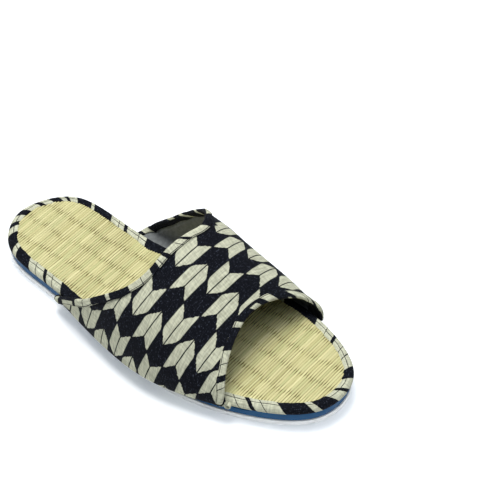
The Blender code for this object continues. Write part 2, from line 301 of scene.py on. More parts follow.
def spline(knots, values, at):
    """Natural cubic curve through a table's rows, with its end slopes carried on."""
    knots = np.asarray(knots, float)
    values = np.asarray(values, float)
    count = len(knots)
    step = np.diff(knots)
    slope = np.diff(values) / step
    matrix = np.eye(count)
    right = np.zeros(count)
    for row in range(1, count - 1):
        matrix[row, row - 1] = step[row - 1]
        matrix[row, row] = 2.0 * (step[row - 1] + step[row])
        matrix[row, row + 1] = step[row]
        right[row] = 6.0 * (slope[row] - slope[row - 1])
    bend = np.linalg.solve(matrix, right)
    at = np.asarray(at, float)
    inside = np.clip(at, knots[0], knots[-1])
    cell = np.clip(np.searchsorted(knots, inside) - 1, 0, count - 2)
    width = step[cell]
    before = (knots[cell + 1] - inside) / width
    after = (inside - knots[cell]) / width
    curve = before * values[cell] + after * values[cell + 1]
    bow = (before**3 - before) * bend[cell] + (after**3 - after) * bend[cell + 1]
    curve += bow * width**2 / 6.0
    low_slope = slope[0] - step[0] * bend[1] / 6.0
    high_slope = slope[-1] + step[-1] * bend[-2] / 6.0
    curve += np.minimum(at - knots[0], 0.0) * low_slope
    curve += np.maximum(at - knots[-1], 0.0) * high_slope
    return curve


def column(table, columns, name):
    """One named column of a table."""
    place = columns.index(name)
    return np.array([row[place] for row in table], float)


def soft_step(value):
    """A ramp from 0 to 1 with soft ends."""
    value = np.clip(value, 0.0, 1.0)
    return value * value * (3.0 - 2.0 * value)


def distance_run(points):
    """Distance from the first point of a line to each of its points."""
    steps = np.linalg.norm(np.diff(points, axis=0), axis=1)
    return np.concatenate([[0.0], np.cumsum(steps)])


def wander(at, seed, span):
    """A smooth random curve, mostly between -1 and 1, whose hills are about a span long."""
    waves, evened = 5, 2.6
    at = np.asarray(at, float) / span
    source = np.random.RandomState(seed)
    total = np.zeros_like(at)
    for _ in range(waves):
        pace = source.uniform(0.55, 1.7)
        total += np.sin(2.0 * np.pi * (at * pace / 2.0 + source.uniform()))
    return total / evened


def outline_x(turn):
    """X of the outer line at a turn: down the lateral side to pi, then back up the medial side."""
    stations = np.radians(column(OUTLINE, OUTLINE_COLUMNS, "turn_deg"))
    lateral = -column(OUTLINE, OUTLINE_COLUMNS, "lateral") / 1000.0
    medial = column(OUTLINE, OUTLINE_COLUMNS, "medial") / 1000.0
    full = 2.0 * np.pi
    one_lap_turn = np.concatenate([stations, full - stations[-2:0:-1]])
    one_lap_x = np.concatenate([lateral, medial[-2:0:-1]])
    laps = np.concatenate([one_lap_turn - full, one_lap_turn, one_lap_turn + full])
    return spline(laps, np.tile(one_lap_x, 3), np.asarray(turn, float))


def side_x(size, y, medial):
    """X of the outer line beside a station."""
    turn = np.arccos(np.clip(np.asarray(y, float) / (size.whole / 2.0), -1.0, 1.0))
    return outline_x(2.0 * np.pi - turn) if medial else outline_x(turn)


def lift(size, y):
    """Toe spring."""
    ahead = (-np.asarray(y, float) - size.spring_start) / (size.whole / 2.0 - size.spring_start)
    return size.toe_spring * np.clip(ahead, 0.0, None) ** 2


def loop(size, turn, inset):
    """Points of the outline moved in by an inset."""
    small = 1.0e-4
    x = outline_x(turn)
    y = size.whole / 2.0 * np.cos(turn)
    dx = (outline_x(turn + small) - outline_x(turn - small)) / (2.0 * small)
    dy = -size.whole / 2.0 * np.sin(turn)
    norm = np.hypot(dx, dy)
    return x - inset * dy / norm, y + inset * dx / norm


def ring(size, turn, inset, height):
    """Points of the outline at an inset and a height, with the toe spring."""
    x, y = loop(size, turn, inset)
    return np.column_stack([x, y, height + lift(size, y)])


def even_turns(size, count):
    """Turns that are evenly spaced along the outer line, and the distance run to each."""
    turn = np.linspace(0.0, 2.0 * np.pi, 6001)
    run = distance_run(np.column_stack(loop(size, turn, 0.0)))
    even = np.arange(count) * run[-1] / count
    return np.interp(even, run, turn), even


def band_point(size, y, around):
    """Outer face of the upper at a station and a place across the arch."""
    y, around = np.broadcast_arrays(np.asarray(y, float), np.asarray(around, float))
    station = -column(SECTIONS, SECTION_COLUMNS, "y")
    bulge_l, bulge_m, roof, lean = (
        spline(station, column(SECTIONS, SECTION_COLUMNS, name), -y * 1000.0) / 1000.0
        for name in ("lateral_bulge", "medial_bulge", "roof", "lean")
    )
    line_l = side_x(size, y, False)
    line_m = side_x(size, y, True)
    wide_l = line_l - bulge_l
    wide_m = line_m + bulge_m
    spring_z = size.midsole_top - size.margin + size.roll_height
    turn = np.pi * np.clip(around, 0.0, 1.0)
    cosine = np.cos(turn)
    sine = np.clip(np.sin(turn), 0.0, 1.0)
    power = 2.0 / size.arch_power
    reach = np.sign(cosine) * np.abs(cosine) ** power
    x = (wide_l + wide_m) / 2.0 - (wide_m - wide_l) / 2.0 * reach + lean * sine**2
    z = spring_z + (roof - spring_z) * sine**power
    for medial in (False, True):
        past = np.clip(around - 1.0 if medial else -around, 0.0, None)
        sign = 1.0 if medial else -1.0
        gap = np.abs(wide_m - line_m if medial else wide_l - line_l)
        roll = np.clip(past / ROLL_PART, 0.0, 1.0) * np.pi / 2.0
        tuck = np.clip((past - ROLL_PART) / MARGIN_PART, 0.0, 1.0)
        x = x - sign * (gap + size.roll_start) * (1.0 - np.cos(roll))
        z = z - size.roll_height * np.sin(roll)
        x = x - sign * (size.margin_reach - size.roll_start) * tuck
    return np.stack([x, y, z + lift(size, y)], -1)


def band_along(size, y, around):
    """Direction of the band's outer face along the foot, for a small step of Y."""
    return band_point(size, y + NUDGE_Y, around) - band_point(size, y - NUDGE_Y, around)


def band_normal(size, y, around):
    """Outward direction of the band's outer face."""
    ahead = band_point(size, y, around + NUDGE_AROUND)
    over = ahead - band_point(size, y, around - NUDGE_AROUND)
    normal = np.cross(over, band_along(size, y, around))
    return normal / np.linalg.norm(normal, axis=-1)[..., None]


def edge_y(name, around):
    """Y of a cut edge of the band."""
    places, ys = (column(EDGES, EDGE_COLUMNS, item) for item in ("around", name))
    return spline(places, ys, around) / 1000.0


def y_per_width(size, name, around):
    """Distance along Y that moves one unit square to a cut edge, across the band."""
    small = 1.0e-3
    ahead = band_point(size, edge_y(name, around + small), around + small)
    behind = band_point(size, edge_y(name, around - small), around - small)
    run = ahead - behind
    run /= np.linalg.norm(run, axis=-1)[..., None]
    along = band_along(size, edge_y(name, around), around) / (2.0 * NUDGE_Y)
    square = along - (along * run).sum(-1)[..., None] * run
    return 1.0 / np.linalg.norm(square, axis=-1)


def arch_length(size, y, around):
    """Distance over the band from a little past its crown, negative toward the lateral side."""
    start = 0.55
    total = np.zeros_like(around)
    before = band_point(size, y, np.full_like(around, start))
    for part in np.linspace(0.0, 1.0, 49)[1:]:
        here = band_point(size, y, start + (around - start) * part)
        total += np.linalg.norm(here - before, axis=-1)
        before = here
    return np.sign(around - start) * total


def feather_place(over, y):
    """Place in the arrow-feather weave: repeats over the foot, and rows toward the toe."""
    over = over * 10.0
    back = (y - FEATHER_ORIGIN) * 10.0
    s = np.clip(over, *FEATHER_OVER_ENDS)
    v = np.clip(back, *FEATHER_BACK_ENDS)
    across = sum(factor * s**i * v**j for factor, i, j in FEATHER_ACROSS)
    across = across + (over - s) * FEATHER_PACE_ACROSS
    rows = sum(factor * s**i * v**j for factor, i, j in FEATHER_ROWS)
    rows = rows + (back - v) * FEATHER_PACE_ROWS
    rows += np.where(over > 0.0, FEATHER_DRIFT_MEDIAL, FEATHER_DRIFT_LATERAL) * (over - s)
    return across, rows


def cream_depth(chart, place, cross):
    """Distance into the nearest cream figure of a tape, negative on navy."""
    depth = np.full(np.shape(place), -9.0)
    for start, end, *sides in chart:
        low, high = sides or (-99.0, 99.0)
        lengthwise = np.minimum(place - start, end - place)
        crosswise = np.minimum(cross - low, high - cross)
        depth = np.maximum(depth, np.minimum(lengthwise, crosswise))
    return depth


def mark_distance(marks, place):
    """Distance to the nearest cross mark, whose sign turns over at each mark."""
    marks = np.asarray(marks, float)
    near = np.abs(place[..., None] - marks).min(-1)
    passed = (place[..., None] > marks).sum(-1)
    return near * (1 - 2 * (passed % 2))


def grid_faces(rows, count, rows_closed=False, count_closed=False, first=0):
    """Quads of a grid of points, row by row."""
    r = np.arange(rows if rows_closed else rows - 1)
    k = np.arange(count if count_closed else count - 1)
    here = (r[:, None] * count + k[None, :]).ravel()
    side = (r[:, None] * count + (k[None, :] + 1) % count).ravel()
    below = ((r[:, None] + 1) % rows * count + k[None, :]).ravel()
    corner = ((r[:, None] + 1) % rows * count + (k[None, :] + 1) % count).ravel()
    return (np.column_stack([here, side, corner, below]) + first).tolist()


def lid(first, start, count, points, columns, rise):
    """Rows of quads across a ring of points: a lid that follows the toe spring and may have relief.

    The ring's points are numbered from first and the new ones from start. Rise gives their relief.
    """
    half = count // 2
    share = np.linspace(0.0, 1.0, columns + 1)[1:-1]
    left = points[1:half]
    right = points[count - 1 : half : -1]
    inner = left[:, None, :] + (right - left)[:, None, :] * share[None, :, None]
    inner[..., 2] += rise(inner[..., 0], inner[..., 1], np.broadcast_to(share, inner.shape[:2]))
    rows = []
    for k in range(1, half):
        middle = [start + (k - 1) * (columns - 1) + j for j in range(columns - 1)]
        rows.append([first + k] + middle + [first + count - k])
    faces = []
    for j in range(columns):
        faces.append((first, rows[0][j], rows[0][j + 1]))
        faces.append((first + half, rows[-1][j + 1], rows[-1][j]))
    for row, after in zip(rows, rows[1:]):
        faces += [(row[j], after[j], after[j + 1], row[j + 1]) for j in range(columns)]
    return inner.reshape(-1, 3), faces


def no_relief(x, y, share):
    """Relief of a plain lid."""
    return 0.0 * x


def rounded_top(inset, top, radius, steps):
    """Inset and height at each step up a rounded top edge."""
    return [
        (inset + radius * (1.0 - math.cos(a)), top - radius * (1.0 - math.sin(a)))
        for a in np.linspace(0.0, np.pi / 2.0, steps)
    ]


def closed_stack(rings, low_columns=4, low_rise=no_relief):
    """Points and faces of rings stacked from the bottom up and closed by a lid at each end."""
    count = len(rings[0])
    start = len(rings) * count
    low_points, low_faces = lid(0, start, count, rings[0], low_columns, low_rise)
    start += len(low_points)
    top_first = (len(rings) - 1) * count
    top_points, top_faces = lid(top_first, start, count, rings[-1], 4, no_relief)
    faces = grid_faces(len(rings), count, count_closed=True) + low_faces + top_faces
    return np.concatenate(rings + [low_points, top_points]), faces


def tape_fields(along, cross, place, cream, marks, seam):
    """Threads, figures, cross marks and seam at each point of a tape, in millimetres."""
    return {
        "thread": np.column_stack([along, cross, 0.0 * along]),
        "figure": cream_depth(cream, place, cross),
        "mark": mark_distance(marks, place),
        "seam": cross - seam,
    }


def add_piece(size, name, node, points, faces, finishes, fields=None, parts=None):
    """A piece of the slipper in place of its plain solid."""
    mesh = bpy.data.meshes.new(name)
    mesh.from_pydata((np.asarray(points) + (size.middle_x, 0.0, 0.0)).tolist(), [], faces)
    work = bmesh.new()
    work.from_mesh(mesh)
    bmesh.ops.recalc_face_normals(work, faces=work.faces)
    work.to_mesh(mesh)
    work.free()
    for finish in finishes:
        mesh.materials.append(finish)
    for key, values in (fields or {}).items():
        values = np.asarray(values, np.float32)
        flat = values.ndim == 1
        layer = mesh.attributes.new(key, "FLOAT" if flat else "FLOAT_VECTOR", "POINT")
        layer.data.foreach_set("value" if flat else "vector", values.ravel())
    if parts is not None:
        mesh.polygons.foreach_set("material_index", np.asarray(parts, np.int32))
    mesh.polygons.foreach_set("use_smooth", np.ones(len(mesh.polygons), bool))
    mesh.update()
    piece = bpy.data.objects.new(name, mesh)
    bpy.context.scene.collection.objects.link(piece)
    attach(piece, "root")
    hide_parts(node)
    return piece


class Wiring:
    """Short names for the nodes that the finishes are wired from."""

    def __init__(self, name):
        self.finish = bpy.data.materials.new(name)
        self.finish.use_nodes = True
        self.tree = self.finish.node_tree
        self.shader = self.tree.nodes["Principled BSDF"]

    def give(self, socket, value):
        if isinstance(value, bpy.types.NodeSocket):
            self.tree.links.new(value, socket)
        elif hasattr(value, "__len__") and len(value) == 3 and len(socket.default_value) == 4:
            socket.default_value = (*value, 1.0)
        else:
            socket.default_value = value

    def node(self, kind, inputs, **settings):
        """Outputs of a new node, with its inputs given by name or by number."""
        node = self.tree.nodes.new("ShaderNode" + kind)
        for name, value in settings.items():
            setattr(node, name, value)
        for socket, value in inputs.items():
            self.give(node.inputs[socket], value)
        return node.outputs

    def field(self, name, plain=False):
        return self.node("Attribute", {}, attribute_name=name)["Fac" if plain else "Vector"]

    def place(self):
        return self.node("TexCoord", {})["Object"]

    def split(self, vector):
        return self.node("SeparateXYZ", {0: vector})

    def join(self, x, y, z=0.0):
        return self.node("CombineXYZ", {0: x, 1: y, 2: z})[0]

    def sum(self, operation, *values):
        return self.node("Math", dict(enumerate(values)), operation=operation)[0]

    def add(self, a, b):
        return self.sum("ADD", a, b)

    def times(self, a, b):
        return self.sum("MULTIPLY", a, b)

    def either_side(self, value, swing):
        """A value between 0 and 1 as a swing to either side of nought."""
        return self.times(self.add(value, -0.5), swing)

    def ramp(self, value, low, high, bottom=0.0, top=1.0):
        inputs = dict(enumerate((value, low, high, bottom, top)))
        return self.node("MapRange", inputs, interpolation_type="SMOOTHSTEP")[0]

    def noise(self, vector, scale, detail=2.0):
        return self.node("TexNoise", {"Vector": vector, "Scale": scale, "Detail": detail})["Fac"]

    def chance(self, value):
        return self.node("TexWhiteNoise", {"W": value}, noise_dimensions="1D")["Value"]

    def mix(self, share, first, second):
        return self.node("Mix", {0: share, 6: first, 7: second}, data_type="RGBA")[2]

    def shade(self, tint, value):
        return self.node("VectorMath", {0: tint, "Scale": value}, operation="SCALE")[0]

    def relief(self, height, distance, strength=1.0):
        inputs = {"Strength": strength, "Distance": distance, "Height": height}
        self.give(self.shader.inputs["Normal"], self.node("Bump", inputs)[0])

    def set(self, **values):
        for name, value in values.items():
            socket = name.replace("_", " ").title().replace("Ior", "IOR")
            self.give(self.shader.inputs[socket], value)


def feather_share(wire):
    """Share of cream in the arrow-feather weave of the band."""
    across, rows, plain = wire.split(wire.field("feather"))
    thread = wire.sum("FLOOR", wire.times(rows, FEATHER_THREADS))
    slip = wire.either_side(wire.chance(thread), 0.020)
    drift = wire.either_side(wire.noise(wire.join(across, rows), 5.0, 3.0), 0.04)
    across = wire.add(across, wire.add(slip, drift))
    row = wire.sum("FLOOR", wire.add(rows, 0.5))
    along = wire.times(wire.sum("ABSOLUTE", wire.sum("SUBTRACT", rows, row)), 2.0)
    odd = wire.sum("FLOORED_MODULO", row, 2.0)
    slant = wire.times(along, FEATHER_SLANT)
    side = wire.sum("SUBTRACT", 1.0, wire.times(odd, 2.0))
    place = wire.sum("SUBTRACT", across, wire.times(side, slant))
    place = wire.add(place, wire.times(odd, FEATHER_SHIFT))
    turned = wire.sum("ABSOLUTE", wire.add(wire.sum("FRACT", wire.add(place, 0.25)), -0.5))
    depth = wire.times(wire.sum("SUBTRACT", FEATHER_HALF_WIDTH, turned), FEATHER_REPEAT_MM)
    ragged = wire.add(along, wire.either_side(wire.noise(wire.join(across, rows), 9.0, 1.0), 0.05))
    end = wire.times(wire.sum("SUBTRACT", FEATHER_TIP, ragged), FEATHER_HALF_ROW_MM)
    inside = wire.sum("SMOOTH_MIN", depth, end, FEATHER_BLUNT)
    barbs = wire.times(wire.ramp(inside, -0.20, 0.30), wire.ramp(ragged, *FEATHER_SPINE))
    return wire.times(barbs, wire.sum("SUBTRACT", 1.0, plain))


def tape_share(wire):
    """Share of cream on a tape, with the thin marks that cross it and run along it."""
    drift = wire.either_side(wire.noise(wire.field("thread"), 0.9, 3.0), 1.1)
    cream = wire.ramp(wire.add(wire.field("figure", True), drift), -0.15, 0.25)

    def clear_of(line, sway, near, far):
        off = wire.sum("ABSOLUTE", wire.field(line, True))
        return wire.ramp(wire.add(off, wire.times(drift, sway)), near, far)

    mark = clear_of("mark", 0.3, 0.18, 0.42)
    seam = clear_of("seam", 0.2, 0.12, 0.34)
    return wire.times(cream, wire.times(mark, seam))


def cloth_finish(name, colours, share_of):
    """Slubby plain weave in two colours."""
    wire = Wiring(name)
    share = share_of(wire)
    over, along, _ = wire.split(wire.field("thread"))

    def streaks(on_over, on_along, layer, detail):
        place = wire.join(wire.times(over, on_over), wire.times(along, on_along), layer)
        return wire.noise(place, 1.0, detail)

    weft = streaks(0.13, 0.95, 0.0, 2.0)
    warp = streaks(0.95, 0.13, 7.0, 2.0)
    slub = wire.add(wire.times(weft, 0.55), wire.times(warp, 0.45))
    cream = wire.shade(colours.cream, wire.ramp(slub, 0.32, 0.68, 0.68, 1.18))
    short = wire.ramp(streaks(0.42, 1.5, 3.0, 1.0), 0.48, 0.70)
    dash = wire.ramp(streaks(1.5, 0.42, 11.0, 1.0), 0.46, 0.68)
    navy = wire.mix(wire.times(short, dash), colours.navy, colours.fleck)
    wire.set(base_color=wire.mix(share, navy, cream))
    ribs = [wire.sum("SINE", wire.times(way, math.pi / THREAD_PITCH)) for way in (over, along)]
    height = wire.add(wire.times(wire.times(*ribs), 0.30), wire.times(slub, 1.3))
    wire.relief(wire.add(height, wire.times(share, 0.18)), 0.00022, 0.55)
    wire.set(roughness=wire.ramp(slub, 0.3, 0.7, 0.95, 0.82), specular_ior_level=0.12)
    return wire.finish


def lining_finish(colours):
    """Charcoal tricot lining, matt, with a fine rib, navy within a strip inside the toe edge."""
    wire = Wiring("charcoal_lining")
    over, along, facing = wire.split(wire.field("thread"))
    mottle = wire.noise(wire.field("thread"), 0.35, 3.0)
    tricot = wire.shade(colours.lining, wire.ramp(mottle, 0.25, 0.75, 0.84, 1.18))
    # The third thread value turns the lining navy within a strip inside the toe edge.
    wire.set(base_color=wire.mix(facing, tricot, colours.navy))
    rib = wire.sum("SINE", wire.times(over, 2.0 * math.pi / 0.9))
    knit = wire.sum("SINE", wire.times(along, 2.0 * math.pi / 0.8))
    wire.relief(wire.add(wire.times(wire.times(rib, knit), 0.3), mottle), 0.00012, 0.4)
    wire.set(roughness=wire.ramp(mottle, 0.3, 0.7, 0.80, 0.68), specular_ior_level=0.3)
    wire.set(sheen_weight=0.1)
    return wire.finish


def rush_finish(colours):
    """Dry rush strands, each of its own tone, with fibres along them and painted shade between them
    and round the dips.
    """
    wire = Wiring("woven_rush")
    x, y, _ = wire.split(wire.field("lay"))
    tone, green, gap = wire.split(wire.field("straw"))
    fibre = wire.noise(wire.join(wire.times(x, 0.09), wire.times(y, 3.2)), 1.0, 3.0)
    blotch = wire.noise(wire.join(wire.times(x, 0.035), wire.times(y, 0.05), 3.0), 1.0, 2.0)
    pale = wire.ramp(wire.add(tone, wire.either_side(fibre, 0.45)), 0.05, 0.95)
    straw = wire.mix(pale, colours.straw_dark, colours.straw_pale)
    green = wire.times(wire.ramp(green, 0.45, 1.0), 0.7)
    straw = wire.mix(green, straw, colours.straw_green)
    straw = wire.shade(straw, wire.ramp(blotch, 0.3, 0.7, 0.96, 1.04))
    # The gap share mixes in the painted shade.
    wire.set(base_color=wire.mix(wire.ramp(gap, 0.15, 1.0), straw, colours.straw_gap))
    wire.relief(fibre, 0.00015, 0.5)
    wire.set(roughness=wire.ramp(fibre, 0.3, 0.7, 0.62, 0.46), specular_ior_level=0.35)
    return wire.finish


def foam_finish(name, tint, grain, rough, gloss):
    """Moulded foam with a fine even skin, a little scuffed."""
    wire = Wiring(name)
    place = wire.place()
    skin = wire.noise(place, grain, 3.0)
    scuff = wire.noise(place, 90.0, 4.0)
    wire.set(base_color=wire.shade(tint, wire.ramp(scuff, 0.3, 0.75, 1.04, 0.93)))
    wire.relief(wire.add(skin, wire.times(scuff, 0.5)), 0.00010, 0.35)
    worn = wire.ramp(scuff, 0.3, 0.7, rough - 0.06, rough + 0.08)
    wire.set(roughness=worn, specular_ior_level=gloss)
    return wire.finish


def floor_finish():
    """Smooth pale paper, with a little light of its own so that it stays white."""
    wire = Wiring("pale_paper")
    place = wire.place()
    fibre = wire.noise(place, 60.0, 2.0)
    wire.set(base_color=wire.shade((0.85, 0.85, 0.85), wire.ramp(fibre, 0.2, 0.8, 0.995, 1.005)))
    wire.set(roughness=0.85, specular_ior_level=0.1)
    wire.set(emission_color=(0.84, 0.92, 1.0), emission_strength=0.26)
    return wire.finish


OUTSOLE_POINTS = 760  # round the outline
OUTSOLE_TOP_ROUND = 0.0005
TREAD_COLUMNS = 56
TREAD_PITCH = 0.0075
TREAD_SWING = 0.004  # of a groove to either side
TREAD_WAVE = 0.006  # length of that swing across the foot, over 2 pi
TREAD_DEPTH = 0.0008
TREAD_END = 0.009  # plain length at the heel end and at the toe end


class SLIPPER_OT_outsole(bpy.types.Operator):
    """White outsole with a rounded bottom edge and a wavy tread"""

    bl_idname = "slipper.outsole"
    bl_label = "Outsole"
    bl_options = {"REGISTER", "UNDO"}

    def execute(self, context):
        size = context.scene.slipper_sizes
        turn = np.arange(OUTSOLE_POINTS) * 2.0 * np.pi / OUTSOLE_POINTS
        inset = size.outsole_inset
        soft = size.bottom_round
        profile = [
            (inset + soft * (1.0 - math.sin(a)), soft * (1.0 - math.cos(a)))
            for a in np.linspace(0.0, np.pi / 2.0, 6)
        ]
        profile.append((inset, size.outsole_top / 2.0))
        profile += rounded_top(inset, size.outsole_top, OUTSOLE_TOP_ROUND, 4)

        def tread(x, y, share):
            wave = y + TREAD_SWING * np.sin(x / TREAD_WAVE)
            groove = soft_step((np.cos(2.0 * np.pi * wave / TREAD_PITCH) - 0.35) / 0.4)
            rim = soft_step(np.minimum(share, 1.0 - share) * 14.0 - 0.6)
            ends = soft_step((size.whole / 2.0 - TREAD_END - np.abs(y)) / 0.003)
            return TREAD_DEPTH * groove * rim * ends

        rings = [ring(size, turn, *row) for row in profile]
        points, faces = closed_stack(rings, TREAD_COLUMNS, tread)
        finish = foam_finish("white_foam", context.scene.slipper_colours.white, 2400.0, 0.50, 0.35)
        add_piece(size, "outsole_shell", "outsole", points, faces, [finish])
        return {"FINISHED"}


MIDSOLE_POINTS = 420  # round the outline
MIDSOLE_TOP_ROUND = 0.0007
MIDSOLE_FOOT = ((0.0004, 0.0), (0.0001, 0.0002), (0.0, 0.0006))  # lower edge: in and up
REBATE_EASE = 0.003  # length over which the step comes and goes


class SLIPPER_OT_midsole(bpy.types.Operator):
    """Blue midsole, stepped down where the band is tucked under the insole"""

    bl_idname = "slipper.midsole"
    bl_label = "Midsole"
    bl_options = {"REGISTER", "UNDO"}

    def execute(self, context):
        size = context.scene.slipper_sizes
        turn = np.arange(MIDSOLE_POINTS) * 2.0 * np.pi / MIDSOLE_POINTS
        y = size.whole / 2.0 * np.cos(turn)
        stepped = soft_step((y - size.rebate_front) / REBATE_EASE)
        stepped = stepped * soft_step((size.rebate_back - y) / REBATE_EASE)
        drop = (size.margin + size.play) * stepped
        low = size.outsole_top + size.play
        top = size.midsole_top
        inset = size.midsole_inset
        # Inset, height and share of the step's drop, from the bottom up.
        profile = [(inset + out, low + up, 0.0) for out, up in MIDSOLE_FOOT]
        profile.append((inset, (low + top) / 2.0, 0.5))
        profile += [(*row, 1.0) for row in rounded_top(inset, top, MIDSOLE_TOP_ROUND, 5)]
        profile += [(size.rebate_reach, top, 1.0), (size.rebate_reach + size.play, top, 0.0)]
        rings = []
        for out, height, share in profile:
            here = ring(size, turn, out, height)
            here[:, 2] -= drop * share
            rings.append(here)
        points, faces = closed_stack(rings)
        finish = foam_finish("blue_foam", context.scene.slipper_colours.blue, 2600.0, 0.46, 0.15)
        add_piece(size, "midsole_shell", "midsole", points, faces, [finish])
        return {"FINISHED"}


MAT_INSET = 0.0036  # edge of the mat inside the outer line, under the tape
MAT_ROW = 0.00026  # spacing of its points along the foot
MAT_COLUMN = 0.00125  # and across it
STRAND_WIDTHS = (0.88, 1.12)  # shares of the usual width
STRAND_BODIES = (0.00042, 0.00056)
WARP_PULLS = (0.20, 1.0)
WARP_SWAY = 0.0009  # neighbouring strands dip on either side of a warp
DIP_WIDTH = 0.0015
DIP_SHADE_WIDTH = 0.0027  # of the painted shade round a dip
PRESS_DEPTH = 0.0011  # of the mat's edge under the tape
PRESS_WIDTH = 0.0042


class SLIPPER_OT_rush_mat(bpy.types.Operator):
    """Rush mat: strands side by side across the foot, dipping where lengthwise warps hold them"""

    bl_idname = "slipper.rush_mat"
    bl_label = "Rush mat"
    bl_options = {"REGISTER", "UNDO"}

    def between(self, rows, firsts):
        """Triangles between neighbouring rows, which differ in how many points they have."""
        faces = []
        for k, (here, there) in enumerate(zip(rows, rows[1:])):
            i = j = 0
            while i < len(here) - 1 or j < len(there) - 1:
                if j == len(there) - 1 or (i < len(here) - 1 and here[i + 1] <= there[j + 1]):
                    faces.append((firsts[k] + i, firsts[k] + i + 1, firsts[k + 1] + j))
                    i += 1
                else:
                    faces.append((firsts[k] + i, firsts[k + 1] + j + 1, firsts[k + 1] + j))
                    j += 1
        return faces

    def execute(self, context):
        size = context.scene.slipper_sizes
        source = np.random.RandomState(41)
        turn = np.linspace(0.0, 2.0 * np.pi, 4001)
        x, y = loop(size, turn, MAT_INSET)
        half = len(turn) // 2
        lateral = (y[: half + 1][::-1], x[: half + 1][::-1])
        medial = (y[half:], x[half:])
        stations = np.arange(y.min() + 0.0006, y.max() - 0.0006, MAT_ROW)
        left = np.interp(stations, *lateral)
        right = np.interp(stations, *medial)
        columns = np.arange(-0.060, 0.060, MAT_COLUMN)
        rows = []
        for a, b in zip(left, right):
            inner = columns[(columns > a + 0.0008) & (columns < b - 0.0008)]
            rows.append(np.concatenate([[a], inner, [b]]))
        counts = [len(row) for row in rows]
        firsts = np.concatenate([[0], np.cumsum(counts)])
        at_x = np.concatenate(rows)
        at_y = np.repeat(stations, counts)
        strands = int(size.whole / size.rush) + 20
        widths = size.rush * source.uniform(*STRAND_WIDTHS, strands)
        edges = -size.whole / 2.0 - 0.006 + np.concatenate([[0.0], np.cumsum(widths)])
        waver = 0.00016 * wander(at_x, 5, 0.030) + 0.00008 * wander(at_x + at_y * 0.6, 6, 0.020)
        strand = np.clip(np.searchsorted(edges, at_y + waver) - 1, 0, strands - 1)
        place = (at_y + waver - edges[strand]) / widths[strand]
        off_middle = np.abs(2.0 * place - 1.0)
        rib = 1.0 - off_middle**2.6
        dip = np.zeros_like(at_x)
        seat = np.zeros_like(at_x)
        cell = np.zeros(len(at_x), int)
        parity = 1 - 2 * (strand % 2)
        pull = source.uniform(*WARP_PULLS, (strands, len(WARPS)))
        for k, warp in enumerate(WARPS):
            line = warp / 1000.0 + 0.0011 * wander(at_y, 20 + k, 0.05)
            line += 0.0006 * wander(at_y, 40 + k, 0.015)
            off = at_x - line - WARP_SWAY * parity
            dip = np.maximum(dip, pull[strand, k] * np.exp(-((off / DIP_WIDTH) ** 2)))
            seat = np.maximum(seat, pull[strand, k] * np.exp(-((off / DIP_SHADE_WIDTH) ** 2)))
            cell += off > 0.0
        body = source.uniform(*STRAND_BODIES, strands)[strand]
        height = size.mat_top - 0.00055 + body * rib * (1.0 - 0.55 * dip) - 0.00016 * dip
        height += 0.00012 * wander(at_x + 0.3 * at_y, 9, 0.045) * wander(at_y, 10, 0.08)
        shore = np.minimum(at_x - np.repeat(left, counts), np.repeat(right, counts) - at_x)
        ends = np.minimum(at_y - stations[0], stations[-1] - at_y)
        pressed = 1.0 - soft_step(np.minimum(shore, ends) / PRESS_WIDTH)
        height -= PRESS_DEPTH * pressed
        points = np.column_stack([at_x, at_y, height + lift(size, at_y)])
        faces = self.between(rows, firsts)
        rim_left = firsts[:-1]
        rim_right = firsts[1:] - 1
        top = len(points)
        base = size.midsole_top + size.play
        low = base + lift(size, stations)
        under = [np.column_stack([side, stations, low]) for side in (left, right)]
        points = np.concatenate([points] + under)
        low_left = top + np.arange(len(rows))
        low_right = low_left + len(rows)
        for k in range(len(rows) - 1):
            faces.append((rim_left[k], rim_left[k + 1], low_left[k + 1], low_left[k]))
            faces.append((rim_right[k + 1], rim_right[k], low_right[k], low_right[k + 1]))
            faces.append((low_left[k], low_left[k + 1], low_right[k + 1], low_right[k]))
        faces.append(tuple(range(firsts[0], firsts[1])) + (low_right[0], low_left[0]))
        faces.append(tuple(range(firsts[-2], firsts[-1]))[::-1] + (low_left[-1], low_right[-1]))
        faces = [tuple(int(i) for i in face) for face in faces]
        plain = source.uniform(0.0, 1.0, strands)
        floats = (strands, len(WARPS) + 1)
        float_tone = source.uniform(0.0, 1.0, floats)[strand, cell]
        tone = 0.18 + 0.32 * plain[strand] + 0.34 * float_tone
        green = source.uniform(0.0, 1.0, floats)[strand, cell]
        # Gap is the share of painted shade: it grows toward each strand's edges and round the dips
        # under the warps, where random ticks darken it further, and its strength is random on each
        # float.
        dark = source.uniform(0.60, 1.20, floats)[strand, cell]
        tick = source.uniform(0.0, 1.0, floats)[strand, cell] ** 2.0
        gap = off_middle ** (2.9 - 0.7 * seat) * (0.95 * dark + 2.2 * tick * seat)
        gap = np.clip(gap + 0.30 * dip, 0.0, 1.0)
        extra = len(points) - top
        lay = np.column_stack([at_x * 1000.0, at_y * 1000.0, 0.0 * at_x])
        straw = np.column_stack([tone, green, gap])
        fields = {
            "lay": np.concatenate([lay, np.zeros((extra, 3))]),
            "straw": np.concatenate([straw, np.zeros((extra, 3))]),
        }
        finish = rush_finish(context.scene.slipper_colours)
        add_piece(size, "rush_mat", "insole", points, faces, [finish], fields)
        return {"FINISHED"}


